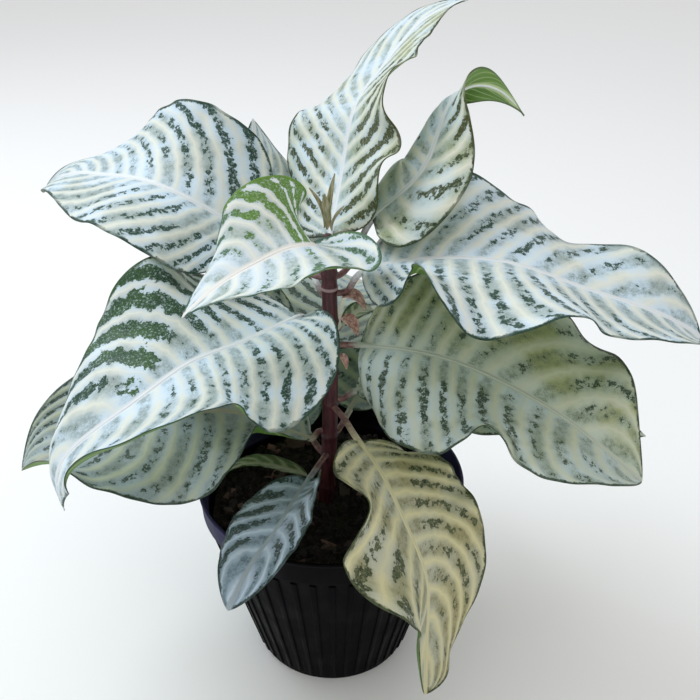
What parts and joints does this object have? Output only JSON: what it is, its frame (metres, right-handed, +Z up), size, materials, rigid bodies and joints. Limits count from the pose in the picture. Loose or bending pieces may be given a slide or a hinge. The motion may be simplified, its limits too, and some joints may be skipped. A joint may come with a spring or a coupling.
{
  "type": "potted plant",
  "caption": "Zebra plant with broad waved leaves on one upright stem, standing in a ribbed round nursery pot filled with soil.",
  "frame": {"origin": "centre of the pot's flat underside", "axes": "+Z up along the pot's axis; the plant's front, as pictured, faces -Y; +X is to the viewer's right"},
  "size_m": [0.3558, 0.2563, 0.3575],
  "materials": {
    "pot_plastic": "thin black plastic with a soft sheen",
    "potting_soil": "dark crumbly compost with bark chips",
    "stem_skin": "dark burgundy, slightly glossy",
    "leaf_blade": "satin leaf, cream-white bands along the veins and dark green between them"
  },
  "bodies": {
    "root": {"pot": "pot_plastic", "soil": "potting_soil", "stem": "stem_skin", "leaf_top": "leaf_blade", "leaf_young": "leaf_blade", "leaf_upper_left": "leaf_blade", "leaf_upper_right": "leaf_blade", "leaf_right": "leaf_blade", "leaf_left": "leaf_blade", "leaf_lower_right": "leaf_blade", "leaf_lower_left": "leaf_blade", "leaf_front_right": "leaf_blade", "leaf_front_small": "leaf_blade", "leaf_under_right": "leaf_blade", "leaf_mid_left": "leaf_blade", "leaf_back_young": "leaf_blade", "leaf_back": "leaf_blade", "leaf_back_left": "leaf_blade", "leaf_back_right": "leaf_blade", "leaf_small_curled": "leaf_blade", "leaf_small_side": "leaf_blade"}
  },
  "joints": []
}
